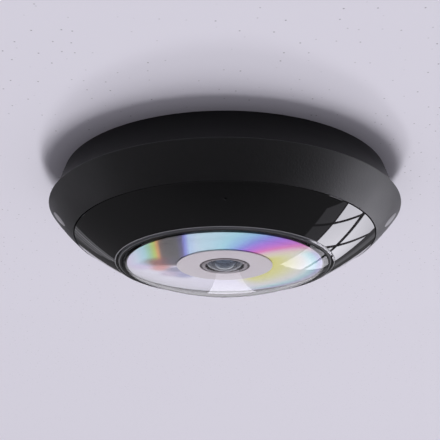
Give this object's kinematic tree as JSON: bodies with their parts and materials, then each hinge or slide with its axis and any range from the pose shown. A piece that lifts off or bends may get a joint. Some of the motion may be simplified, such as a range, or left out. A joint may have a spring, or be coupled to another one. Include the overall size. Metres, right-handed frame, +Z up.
{
  "type": "ceiling camera",
  "caption": "Round black fisheye ceiling camera: tapered neck, matte rim, gloss face, clear ring and dome over a mirror disc and lens, on a twist-lock base.",
  "frame": {"origin": "centre of the mount base's face against the ceiling, on the camera's axis", "axes": "+Z up into the ceiling along the camera's axis, the dome faces -Z, the near side of the picture is -Y"},
  "size_m": [0.186, 0.186, 0.0585],
  "materials": {
    "matte_black_shell": "fine moulded grain, matte",
    "neck_black": "fine moulded grain, matte",
    "gloss_black_face": "high gloss, infrared-clear polycarbonate",
    "clear_ring": "clear moulded acrylic",
    "clear_dome": "clear moulded acrylic",
    "black_rubber": "matte rubber",
    "mirror_disc": "fine-grooved mirror coating that splits light into colours",
    "satin_bezel": "satin",
    "plain_disc": "satin",
    "cast_black": "die-cast, black powder coat",
    "frame_black": "moulded, matte",
    "lens_black": "black anodised",
    "lens_glass": "coated optical glass",
    "filter_glass": "dichroic coated glass",
    "steel_screw": "zinc plated",
    "steel_part": "stamped",
    "brass_part": "turned",
    "copper_coil": "enamelled copper winding",
    "board_green": "solder mask",
    "board_black": "solder mask",
    "chip_black": "moulded epoxy",
    "cream_plastic": "moulded connector",
    "thermal_pad": "soft silicone",
    "lamp_resin": "tinted epoxy",
    "lamp_pale": "phosphor resin",
    "amber_film": "polyimide film",
    "button_grey": "moulded, matte",
    "capacitor_can": "sleeved can",
    "foam": "closed-cell foam"
  },
  "bodies": {
    "base": {"mount_base": "neck_black", "ceiling_foam": "foam"},
    "camera": {"rear_cover": "cast_black", "cover_seal": "black_rubber", "cover_screws": "steel_screw", "body_shell": "matte_black_shell", "side_discs": "plain_disc", "face_plate": "gloss_black_face", "face_seal": "black_rubber", "light_ring": "clear_ring", "dome_gasket": "black_rubber", "dome_window": "clear_dome", "mirror_disc": "mirror_disc", "disc_carrier": "frame_black", "carrier_screws": "steel_screw", "lens_bezel": "satin_bezel", "lens_front_ring": "lens_black", "front_element": "lens_glass", "second_element": "lens_glass", "third_element": "lens_glass", "fourth_element": "lens_glass", "aperture_stop": "lens_black", "lens_barrel": "lens_black", "lens_lock_ring": "brass_part", "lens_holder": "frame_black", "holder_screws": "steel_screw", "image_sensor": "chip_black", "sensor_glass": "lens_glass", "sensor_board": "board_green", "board_standoffs": "brass_part", "sensor_screws": "steel_screw", "board_link": "cream_plastic", "rotor_base": "frame_black", "filter_coil": "copper_coil", "filter_yoke": "steel_part", "main_board": "board_green", "board_screws": "steel_screw", "processor": "chip_black", "thermal_pad": "thermal_pad", "memory_chips": "chip_black", "power_transformer": "chip_black", "capacitors": "capacitor_can", "network_jack": "steel_part", "jack_contacts": "brass_part", "reset_switch": "chip_black", "inner_frame": "frame_black", "frame_screws": "steel_screw", "lamp_board": "board_black", "infrared_lamps": "lamp_resin", "lamp_header": "cream_plastic", "microphones": "brass_part", "mic_boots": "black_rubber", "ring_lamp_strip": "amber_film", "ring_lamps_group": "lamp_pale"},
    "filter_carriage": {"filter_carriage": "frame_black", "infrared_filter": "filter_glass", "clear_filter": "lens_glass"},
    "filter_rotor": {"rotor_magnet": "steel_part", "rotor_arm": "cream_plastic"},
    "reset_button": {"reset_button": "button_grey"}
  },
  "joints": [
    {"name": "twist_lock", "type": "hinge", "parent": "base", "child": "camera", "pos_m": [0, 0, 0], "axis": [0, 0, -1], "range_deg": [0, 20]},
    {"name": "reset_press", "type": "slide", "parent": "camera", "child": "reset_button", "axis": [0, 0, -1], "range_m": [0, 0.0005], "stiffness_N_per_m": 1200, "springref_m": -0.0002},
    {"name": "rotor_turn", "type": "hinge", "parent": "camera", "child": "filter_rotor", "pos_m": [0, -0.02065, 0], "axis": [0, 0, -1], "range_deg": [0, 48.54]},
    {"name": "carriage_slide", "type": "slide", "parent": "camera", "child": "filter_carriage", "axis": [1, 0, 0], "range_m": [0, 0.0074]}
  ],
  "couplings": [
    {"joint": "rotor_turn", "follows": "carriage_slide", "rad_per_m": 114.48}
  ]
}
